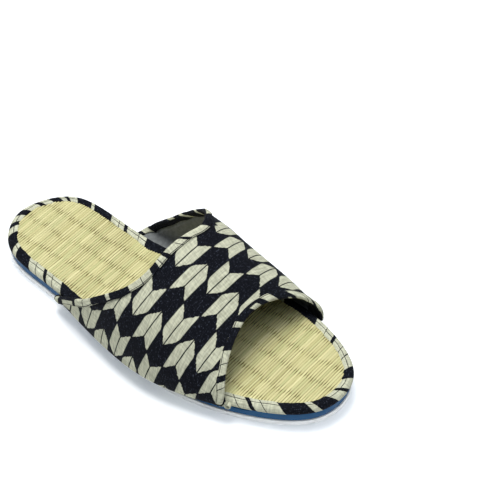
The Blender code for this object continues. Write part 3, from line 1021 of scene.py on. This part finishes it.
INSOLE_TAPE_POINTS = 1240  # round the insole
INSOLE_TAPE_PUCKERS = ((53, 0.4), (71, 2.0), (97, 5.1), (38, 1.2))  # waves round it, and phase
INSOLE_TAPE_HEM = ((29, 1.0), (47, 3.3), (83, 0.7))
INSOLE_TAPE_WIDER_AT = 0.5335  # run to the place where more of the tape is turned in
INSOLE_TAPE_WIDER_BY = 0.0026
INSOLE_TAPE_WIDER_OVER = 0.011
INSOLE_TAPE_PUCKER_HEIGHT = 0.00013
INSOLE_TAPE_HEM_SWING = 0.00030
INSOLE_TAPE_LEAN = 0.75
INSOLE_TAPE_MIDDLE = 13.5  # line that the figures lean about, in millimetres across
INSOLE_TAPE_SEAM = 13.6  # in millimetres across


class SLIPPER_OT_insole_tape(bpy.types.Operator):
    """Cloth tape folded round the edge of the mat"""

    bl_idname = "slipper.insole_tape"
    bl_label = "Insole tape"
    bl_options = {"REGISTER", "UNDO"}

    def execute(self, context):
        size = context.scene.slipper_sizes
        count = INSOLE_TAPE_POINTS
        turn, run = even_turns(size, count)
        key = np.array(INSOLE_TAPE) / 1000.0
        walk = distance_run(key)
        fine = np.linspace(0.0, walk[-1], 24)
        out = np.column_stack([spline(walk, key[:, 0], fine), spline(walk, key[:, 1], fine)])
        step = np.gradient(out, axis=0)
        step /= np.linalg.norm(step, axis=1)[:, None]
        inward = np.column_stack([step[:, 1], -step[:, 0]])
        end, way, side = out[-1], step[-1], inward[-1]
        radius = size.tape_cloth / 2.0
        fold = [
            end + radius * (side * (1.0 - math.cos(a)) + way * math.sin(a))
            for a in np.linspace(0.0, np.pi, 6)[1:-1]
        ]
        inside = (out + inward * size.tape_cloth)[::-1][::3]
        section = np.concatenate([out, fold, inside])
        folded = walk[-1] + 0.0004 * np.arange(1, len(fold) + 1)
        across = np.concatenate([fine, folded, np.full(len(inside), walk[-1] + 0.002)])
        top_share = soft_step((section[:, 1] - 0.0125) / 0.003)
        lip_share = soft_step((across - 0.0115) / 0.004)
        lap = run / run[-1] * (1.0 + 1.0 / (count - 1)) * 2.0 * np.pi
        pucker = sum(np.sin(lap * n + p) for n, p in INSOLE_TAPE_PUCKERS) / 3.0
        hem = sum(np.sin(lap * n + p) for n, p in INSOLE_TAPE_HEM) / 2.6
        wider = np.exp(-(((run - INSOLE_TAPE_WIDER_AT) / INSOLE_TAPE_WIDER_OVER) ** 2))
        hem = INSOLE_TAPE_HEM_SWING * hem + INSOLE_TAPE_WIDER_BY * wider
        lines = []
        for k in range(len(section)):
            inset = section[k, 0] + hem * lip_share[k]
            height = section[k, 1] + INSOLE_TAPE_PUCKER_HEIGHT * pucker * top_share[k]
            lines.append(ring(size, turn, inset, height))
        points = np.concatenate(lines)
        faces = grid_faces(len(lines), count, rows_closed=True, count_closed=True)
        along = np.tile(run * 1000.0, len(lines))
        cross = np.repeat(across * 1000.0, count)
        place = along + INSOLE_TAPE_LEAN * (cross - INSOLE_TAPE_MIDDLE)
        fields = tape_fields(
            along, cross, place, INSOLE_TAPE_CREAM, INSOLE_TAPE_MARKS, INSOLE_TAPE_SEAM
        )
        finish = cloth_finish("insole_tape_cloth", context.scene.slipper_colours, tape_share)
        add_piece(
            size, "insole_tape", "insole_binding", points, faces, [finish],
            fields,
        )
        return {"FINISHED"}


BAND_COLUMNS = 229  # points over the arch
BAND_ROWS = 79  # points from the throat edge to the toe edge
PUFF_HEIGHT = 0.0007  # of the padding away from the edge tapes
PUFF_REACH = 0.016
NAVY_STRIP_WIDTH = 0.0125  # of the strip inside the toe edge where the lining is navy


class SLIPPER_OT_upper(bpy.types.Operator):
    """Padded cloth band with its lining, tucked in under the insole on both sides"""

    bl_idname = "slipper.upper"
    bl_label = "Upper band"
    bl_options = {"REGISTER", "UNDO"}

    def execute(self, context):
        size = context.scene.slipper_sizes
        arch = np.linspace(0.0, 1.0, BAND_COLUMNS)
        roll = np.linspace(-ROLL_PART, 0.0, 11)[:-1]
        low = np.concatenate([-ROLL_PART - MARGIN_PART * np.array((1.0, 0.5)), roll])
        around = np.concatenate([low, arch, 1.0 - low[::-1]])
        share = np.linspace(0.0, 1.0, BAND_ROWS)
        around, share = np.meshgrid(around, share)
        throat = edge_y("throat_y", around)
        toe = edge_y("toe_y", around)
        y = throat + (toe - throat) * share
        face = band_point(size, y, around)
        normal = band_normal(size, y, around)
        past = np.maximum(-around, around - 1.0)
        tucked = soft_step(past / ROLL_PART)
        from_throat = (throat - y) / y_per_width(size, "throat_y", around)
        from_toe = (y - toe) / y_per_width(size, "toe_y", around)
        from_edge = np.minimum(from_throat, from_toe)
        inside = soft_step((from_edge - size.strip_width) / 0.0022)
        rise = PUFF_HEIGHT * inside * soft_step((from_edge - size.strip_width) / PUFF_REACH)
        over = arch_length(size, y, around)
        run = y - FEATHER_ORIGIN

        def on_cloth(a, s):
            """Place over the foot and along it, from a place on the arch and a share to the toe."""
            row = over[int(s * (len(share) - 1))]
            line = run[:, int(np.argmin(np.abs(around[0] - a)))]
            return np.array([np.interp(a, around[0], row), np.interp(s, share[:, 0], line)])

        for around_from, share_from, around_to, share_to, width, height in CREASES:
            first = on_cloth(around_from, share_from)
            line = on_cloth(around_to, share_to) - first
            spot = np.stack([over, run], -1) - first
            part = np.clip((spot * line).sum(-1) / (line * line).sum(), 0.0, 1.0)
            gap = np.linalg.norm(spot - part[..., None] * line, axis=-1)
            taper = np.sin(np.pi * (0.12 + 0.76 * part)) * inside * (1.0 - tucked)
            rise = rise + height / 1000.0 * taper * np.exp(-((gap * 1000.0 / width) ** 2))
        outer = face + normal * (rise * (1.0 - tucked))[..., None]
        wall = size.edge_wall + (size.wall - size.edge_wall) * inside
        wall = wall + (size.margin - wall) * tucked
        inner = face - normal * wall[..., None]
        rows, count = around.shape
        half = rows * count
        points = np.concatenate([outer.reshape(-1, 3), inner.reshape(-1, 3)])
        faces = grid_faces(rows, count)
        parts = [0] * len(faces)
        faces += [tuple(i + half for i in quad[::-1]) for quad in faces]
        parts += [1] * len(parts)
        rim = [r * count for r in range(rows)]
        ends = [list(range(count)), list(range(half - count, half))]
        for line in [rim, [k + count - 1 for k in rim]] + ends:
            for here, there in zip(line, line[1:]):
                faces.append((here, there, half + there, half + here))
                parts.append(0)
        across, feather_rows = feather_place(over, y)
        flat = np.column_stack([over.ravel() * 1000.0, y.ravel() * 1000.0, 0.0 * y.ravel()])
        # Close to the throat edge a short length beside the crown is plain navy.
        plain = soft_step((over * 10.0 - 0.07) / 0.03) * (over < 0.020)
        plain = plain * soft_step((y + 0.0168) / 0.0012)
        feather = np.column_stack([across.ravel(), feather_rows.ravel(), plain.ravel()])
        # The lining is navy within a strip inside the toe edge.
        navy_strip = flat.copy()
        navy_strip[:, 2] = soft_step((NAVY_STRIP_WIDTH - from_toe.ravel()) / 0.0008)
        fields = {"thread": np.concatenate([flat, navy_strip]), "feather": np.tile(feather, (2, 1))}
        colours = context.scene.slipper_colours
        finishes = [cloth_finish("feather_cloth", colours, feather_share), lining_finish(colours)]
        band = add_piece(
            size, "upper_band", "upper", points, faces, finishes, fields, parts
        )
        return {"FINISHED"}


EDGE_TAPE_POINTS = 680  # along each tape
EDGE_TAPE_SECTION = (  # outer half: shares of the tape's width and of its cloth's thickness
    (1.00, 0.05), (1.02, 0.55), (0.97, 0.95), (0.88, 1.10), (0.72, 1.16), (0.55, 1.20), (0.38, 1.20),
    (0.22, 1.15), (0.08, 1.05),
)
EDGE_TAPE_MIDDLE = 3.4  # line that the figures lean about, in millimetres across
EDGE_TAPE_SEAM = 1.2  # in millimetres across
EDGE_TAPE_HEM_SWING = 0.00040
EDGE_TAPE_CLOSE = 0.0022  # length over which an end closes
PLAIN_CREAM = 3.0  # depth in a figure at which the cloth is all cream
CURL_POINTS = 49  # along the rolled tape end, and round its section
CURL_SIDES = 14
CURL_LENGTH = 22.0  # in millimetres
CURL_RADIUS = 0.0025
CURL_HALF_WIDTH = 0.0016
CURL_HALF_CLOTH = 0.00042


class SLIPPER_OT_edge_tapes(bpy.types.Operator):
    """Cloth tapes folded over the throat edge and the toe edge of the band"""

    bl_idname = "slipper.edge_tapes"
    bl_label = "Edge tapes"
    bl_options = {"REGISTER", "UNDO"}

    def section(self, size):
        """Closed section in from the raw edge and out from the face, way across, outer points."""
        width = size.strip_width
        middle = -size.edge_wall / 2.0
        reach = size.edge_wall / 2.0 + size.play
        cloth = size.strip_cloth
        outside = [(width * along, size.play + out * cloth) for along, out in EDGE_TAPE_SECTION]
        nose = [
            (-(reach + cloth) * math.cos(a), middle + (reach + cloth) * math.sin(a))
            for a in np.radians(np.linspace(72.0, -72.0, 11))
        ]
        below = [(along, 2.0 * middle - out) for along, out in outside[::-1]]
        path = np.array(outside + nose + below)
        across = distance_run(path)
        inner = 2.0 * middle - size.play
        inside = [(width * 0.97, inner), (0.0, inner)]
        inside += [(-size.play, middle), (0.0, size.play), (width * 0.97, size.play)]
        hidden = np.full(len(inside), across[-1])
        return np.concatenate([path, inside]), np.concatenate([across, hidden]), len(path)

    def curl(self, size, run_at, height, first):
        """Raw tape end rolled up against the insole: points, faces and millimetres wound."""
        turn, run = even_turns(size, INSOLE_TAPE_POINTS)
        k = int(np.argmin(np.abs(run - run_at)))
        seat, off = (ring(size, turn[k : k + 1], inset, height)[0] for inset in (-0.0003, -0.0013))
        outward = off - seat
        outward /= np.linalg.norm(outward)
        way = np.cross((0.0, 0.0, 1.0), outward)
        wound = np.linspace(0.0, 1.0, CURL_POINTS)
        bend = np.pi * (0.55 + 2.9 * wound)
        radial = np.cos(bend)[:, None] * way + np.sin(bend)[:, None] * np.array((0.0, 0.0, 1.0))
        radius = CURL_RADIUS * (1.0 - 0.68 * wound)
        lines = []
        for a in np.arange(CURL_SIDES) * 2.0 * np.pi / CURL_SIDES:
            side = 0.0008 + CURL_HALF_WIDTH * np.sign(math.cos(a)) * abs(math.cos(a)) ** 0.5
            thick = CURL_HALF_CLOTH * np.sign(math.sin(a)) * abs(math.sin(a)) ** 0.5
            lines.append(seat + outward * side + radial * (radius + thick)[:, None])
        faces = grid_faces(len(lines), len(wound), rows_closed=True, first=first)
        for k in (0, len(wound) - 1):
            faces.append(tuple(first + j * len(wound) + k for j in range(len(lines))))
        return np.concatenate(lines), faces, np.tile(CURL_LENGTH * wound, len(lines))

    def make(
        self, context, name, node, slot, edge, heading, reach, zero, cream, marks, lean, seed,
        curl_at=None,
    ):
        """One tape along a cut edge: heading is the way into the band, reach goes past its arch."""
        size = context.scene.slipper_sizes
        count = EDGE_TAPE_POINTS
        around = np.linspace(-reach[0], 1.0 + reach[1], count)
        start = edge_y(edge, around)
        slant = y_per_width(size, edge, around)
        line = band_point(size, start, around)
        run = distance_run(line)
        run = (run - np.interp(0.0, around, run)) * 1000.0 + zero
        section, across, outer_points = self.section(size)
        swell = 0.00016 * wander(run, seed, 9.0) + 0.00010 * wander(run, seed + 1, 4.5)
        swell += 0.00055 * np.exp(-(((run - run[0] - 3.4) / 2.4) ** 2))
        hem = EDGE_TAPE_HEM_SWING * wander(run, seed + 2, 13.0)
        middle = -size.edge_wall / 2.0
        from_end = np.minimum(run - run[0], run[-1] - run) / 1000.0
        closing = np.clip(from_end / EDGE_TAPE_CLOSE, 0.0, 1.0)
        closing = 0.15 + 0.85 * np.sqrt(1.0 - (1.0 - closing) ** 2)
        lines = []
        for k, (along, out) in enumerate(section):
            worn = k < outer_points
            share = soft_step(along / size.strip_width) if worn else 0.0
            far = (along + hem * share) * (0.35 + 0.65 * closing)
            rise = middle + (out - middle) * closing
            if worn:
                rise = rise + np.sign(out - middle) * swell * closing
            y = start + heading * far * slant
            lines.append(band_point(size, y, around) + rise[:, None] * band_normal(size, y, around))
        points = np.concatenate(lines)
        faces = grid_faces(len(lines), count, rows_closed=True)
        for k in (0, count - 1):
            faces.append(tuple(j * count + k for j in range(len(lines))))
        flow = np.tile(run, len(lines))
        cross = np.repeat(across * 1000.0, count)
        tilt = np.interp(flow, *np.array(lean, float).T)
        place = flow - tilt * (cross - EDGE_TAPE_MIDDLE)
        fields = tape_fields(flow, cross, place, cream, marks, EDGE_TAPE_SEAM)
        if curl_at:
            more, more_faces, wound = self.curl(size, *curl_at, len(points))
            points = np.concatenate([points, more])
            faces += more_faces
            threads = np.column_stack([wound, 0.0 * wound, 0.0 * wound])
            fields["thread"] = np.concatenate([fields["thread"], threads])
            for key in ("figure", "mark", "seam"):
                fields[key] = np.concatenate([fields[key], np.full(len(more), PLAIN_CREAM)])
        finish = cloth_finish(name + "_cloth", context.scene.slipper_colours, tape_share)
        add_piece(size, name, node, points, faces, [finish], fields)

    def execute(self, context):
        self.make(
            context, "throat_tape", "throat_binding", "throat_binding_cloth", "throat_y",
            heading=-1.0, reach=(0.040, 0.052), zero=10.46, cream=THROAT_TAPE_CREAM,
            marks=THROAT_TAPE_MARKS, lean=THROAT_TAPE_LEAN, seed=60,
        )
        self.make(
            context, "toe_tape", "toe_binding", "toe_binding_cloth", "toe_y",
            heading=1.0, reach=(0.008, 0.028), zero=6.75, cream=TOE_TAPE_CREAM,
            marks=TOE_TAPE_MARKS, lean=TOE_TAPE_LEAN, seed=70, curl_at=(0.2472, 0.0136),
        )
        return {"FINISHED"}


FLOOR_REACH = 3.0
LAMP_PLACE = (0.08, 0.20, 1.28)
LAMP_WIDTH = 0.7
LAMP_TINT = (1.0, 0.985, 0.955)
SKY_TINT = (0.90, 0.96, 1.04, 1.0)
SKY_START = 0.65  # sine of the height from which the sky grows brighter, up to the zenith
SKY_LOW = 0.03  # times the fill light, below that height
SKY_HIGH = 3.7  # and at the zenith


class SLIPPER_OT_stage(bpy.types.Operator):
    """Pale floor, soft light and the camera"""

    bl_idname = "slipper.stage"
    bl_label = "Stage"
    bl_options = {"REGISTER", "UNDO"}

    def execute(self, context):
        scene = context.scene
        size = scene.slipper_sizes
        stage = scene.slipper_stage
        mesh = bpy.data.meshes.new("floor")
        signs = ((-1, -1), (1, -1), (1, 1), (-1, 1))
        corners = [(x * FLOOR_REACH, y * FLOOR_REACH, 0) for x, y in signs]
        mesh.from_pydata(corners, [], [(0, 1, 2, 3)])
        mesh.materials.append(floor_finish())
        floor = bpy.data.objects.new("floor", mesh)
        scene.collection.objects.link(floor)

        right = Vector((math.cos(stage.turn), math.sin(stage.turn), 0.0))
        flat = Vector((math.sin(stage.turn), -math.cos(stage.turn), 0.0))
        back = flat * math.cos(stage.height) + Vector((0.0, 0.0, math.sin(stage.height)))
        up = back.cross(right)
        place = right * stage.slide + up * stage.raise_by + back * stage.distance
        place.x += size.middle_x
        camera = bpy.data.cameras.new("camera")
        camera.sensor_width = 36.0
        camera.lens = stage.lens
        eye = bpy.data.objects.new("camera", camera)
        facing = Matrix((right, up, back)).transposed().to_4x4()
        eye.matrix_world = Matrix.Translation(place) @ facing
        scene.collection.objects.link(eye)
        scene.camera = eye

        light = bpy.data.lights.new("key_lamp", "AREA")
        light.shape = "DISK"
        light.size = LAMP_WIDTH
        light.energy = stage.key
        light.color = LAMP_TINT
        lamp = bpy.data.objects.new("key_lamp", light)
        lamp.location = LAMP_PLACE
        lamp.rotation_euler = (-Vector(LAMP_PLACE)).to_track_quat("-Z", "Y").to_euler()
        scene.collection.objects.link(lamp)

        world = bpy.data.worlds.new("overhead_light")
        world.use_nodes = True
        nodes, links = world.node_tree.nodes, world.node_tree.links
        sky = nodes["Background"]
        sky.inputs["Color"].default_value = SKY_TINT
        split = nodes.new("ShaderNodeSeparateXYZ")
        links.new(nodes.new("ShaderNodeTexCoord").outputs["Generated"], split.inputs[0])
        fade = nodes.new("ShaderNodeMapRange")
        links.new(split.outputs["Z"], fade.inputs["Value"])
        fade.inputs["From Min"].default_value = SKY_START
        fade.inputs["To Min"].default_value = stage.fill * SKY_LOW
        fade.inputs["To Max"].default_value = stage.fill * SKY_HIGH
        links.new(fade.outputs[0], sky.inputs["Strength"])
        scene.world = world
        scene.view_settings.view_transform = "Standard"
        return {"FINISHED"}


class SLIPPER_PT_pieces(bpy.types.Panel):
    """Lists the slipper's pieces with their sizes and colours"""

    bl_idname = "SLIPPER_PT_pieces"
    bl_label = "Tatami Slipper"
    bl_space_type = "VIEW_3D"
    bl_region_type = "UI"
    bl_category = "Slipper"

    def draw(self, context):
        for operator in OPERATORS:
            self.layout.operator(operator.bl_idname)
        scene = context.scene
        for group in (scene.slipper_sizes, scene.slipper_colours, scene.slipper_stage):
            box = self.layout.box()
            for name in group.bl_rna.properties.keys():
                if name not in ("rna_type", "name"):
                    box.prop(group, name)


OPERATORS = (
    SLIPPER_OT_outsole,
    SLIPPER_OT_midsole,
    SLIPPER_OT_rush_mat,
    SLIPPER_OT_insole_tape,
    SLIPPER_OT_upper,
    SLIPPER_OT_edge_tapes,
    SLIPPER_OT_stage,
)
CLASSES = (SlipperSizes, SlipperColours, SlipperStage) + OPERATORS + (SLIPPER_PT_pieces,)


def register():
    for item in CLASSES:
        bpy.utils.register_class(item)
    bpy.types.Scene.slipper_sizes = PointerProperty(type=SlipperSizes)
    bpy.types.Scene.slipper_colours = PointerProperty(type=SlipperColours)
    bpy.types.Scene.slipper_stage = PointerProperty(type=SlipperStage)


def unregister():
    del bpy.types.Scene.slipper_stage
    del bpy.types.Scene.slipper_colours
    del bpy.types.Scene.slipper_sizes
    for item in reversed(CLASSES):
        bpy.utils.unregister_class(item)


def main():
    register()
    bpy.ops.slipper.outsole()
    bpy.ops.slipper.midsole()
    bpy.ops.slipper.rush_mat()
    bpy.ops.slipper.insole_tape()
    bpy.ops.slipper.upper()
    bpy.ops.slipper.edge_tapes()
    bpy.ops.slipper.stage()


if __name__ == "__main__":
    main()
